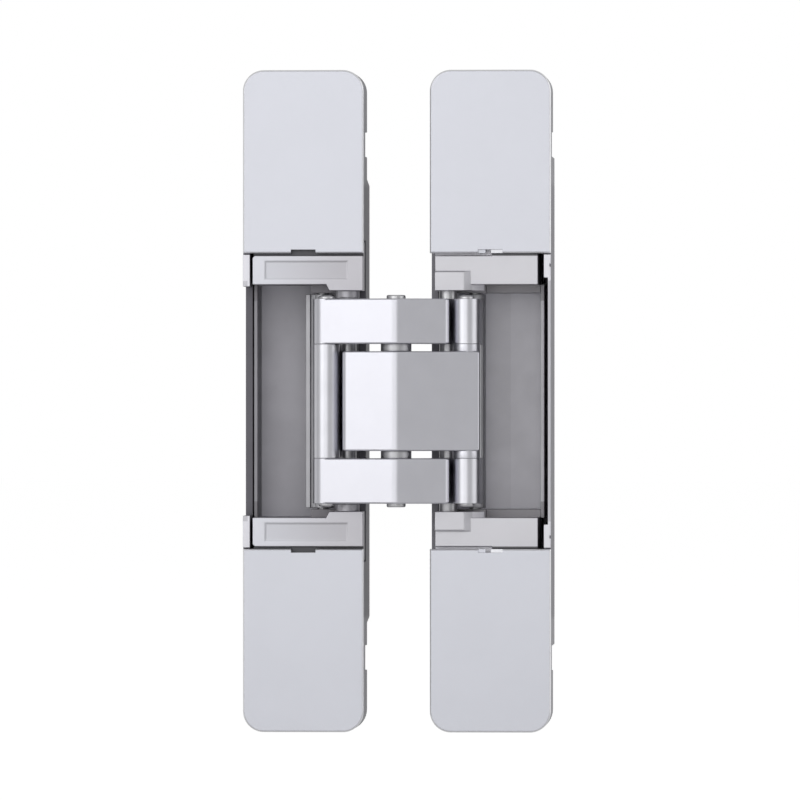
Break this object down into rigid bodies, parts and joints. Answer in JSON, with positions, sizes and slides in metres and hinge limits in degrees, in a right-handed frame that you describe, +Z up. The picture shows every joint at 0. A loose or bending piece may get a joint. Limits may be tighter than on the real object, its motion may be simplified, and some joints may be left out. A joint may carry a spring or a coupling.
{
  "type": "concealed hinge",
  "caption": "Long concealed door hinge with crossing links on pins between slim leaves, covered screw ends and adjustable carriers, shown fully open.",
  "frame": {"origin": "middle of the fully open hinge's bounding box", "axes": "+X from the frame leaf to the door leaf, +Y from the faces into the leaves, +Z up along the leaves"},
  "size_m": [0.0746, 0.0356, 0.16],
  "materials": {
    "satin_casting": "satin chrome plated zinc casting",
    "cover_finish": "satin chrome plated, fine grain",
    "carrier_casting": "satin chrome plated zinc casting",
    "link_finish": "satin chrome plated",
    "rocker_finish": "satin chrome plated",
    "pin_steel": "ground steel",
    "washer_steel": "plain steel",
    "screw_steel": "zinc plated steel"
  },
  "bodies": {
    "frame_leaf": {"frame_housing": "satin_casting", "frame_cover_upper": "cover_finish", "frame_cover_lower": "cover_finish", "frame_depth_screw_upper": "screw_steel", "frame_depth_screw_lower": "screw_steel"},
    "frame_carrier": {"frame_carrier": "carrier_casting", "frame_pivot_pin": "pin_steel"},
    "centre_link": {"centre_link": "link_finish", "centre_link_barrel_pin": "pin_steel", "barrel_spacer_upper": "washer_steel", "barrel_spacer_lower": "washer_steel"},
    "fork_link": {"fork_link_upper": "link_finish", "fork_link_lower": "link_finish", "fork_barrel_pin": "pin_steel", "centre_pin": "pin_steel", "centre_washer_upper": "washer_steel", "centre_washer_lower": "washer_steel"},
    "frame_rocker": {"frame_rocker": "rocker_finish", "frame_rocker_pin": "pin_steel"},
    "door_rocker": {"door_rocker": "rocker_finish", "door_rocker_pin": "pin_steel"},
    "door_carrier": {"door_carrier": "carrier_casting", "door_pivot_pin": "pin_steel"},
    "door_leaf": {"door_housing": "satin_casting", "door_cover_upper": "cover_finish", "door_cover_lower": "cover_finish", "door_clamp_screw_upper": "screw_steel", "door_clamp_screw_lower": "screw_steel"}
  },
  "joints": [
    {"name": "frame_depth_adjust", "type": "slide", "parent": "frame_leaf", "child": "frame_carrier", "axis": [0, 1, 0], "range_m": [-0.001, 0.001]},
    {"name": "frame_pivot", "type": "hinge", "parent": "frame_carrier", "child": "centre_link", "pos_m": [-0.0122, -0.00391, 0], "axis": [0, 0, 1], "range_deg": [-113.49, 0]},
    {"name": "cross_pivot", "type": "hinge", "parent": "centre_link", "child": "fork_link", "pos_m": [0, -0.01191, 0], "axis": [0, 0, 1], "range_deg": [0, 46.98]},
    {"name": "door_pivot", "type": "hinge", "parent": "fork_link", "child": "door_carrier", "pos_m": [0.0122, -0.00391, 0], "axis": [0, 0, 1], "range_deg": [-113.49, 0]},
    {"name": "door_side_adjust", "type": "slide", "parent": "door_carrier", "child": "door_leaf", "axis": [1, 0, 0], "range_m": [-0.001, 0.001]},
    {"name": "frame_rocker_pivot", "type": "hinge", "parent": "fork_link", "child": "frame_rocker", "pos_m": [-0.0169, -0.01041, 0], "axis": [0, 0, 1], "range_deg": [-40.17, 0]},
    {"name": "door_rocker_pivot", "type": "hinge", "parent": "centre_link", "child": "door_rocker", "pos_m": [0.0169, -0.01041, 0], "axis": [0, 0, 1], "range_deg": [0, 40.17]}
  ],
  "couplings": [
    {"joint": "frame_pivot", "follows": "door_pivot", "ratio": 1},
    {"joint": "cross_pivot", "follows": "door_pivot", "ratio": -0.41397},
    {"joint": "frame_rocker_pivot", "follows": "door_pivot", "ratio": 0.35397},
    {"joint": "door_rocker_pivot", "follows": "door_pivot", "ratio": -0.35397}
  ]
}
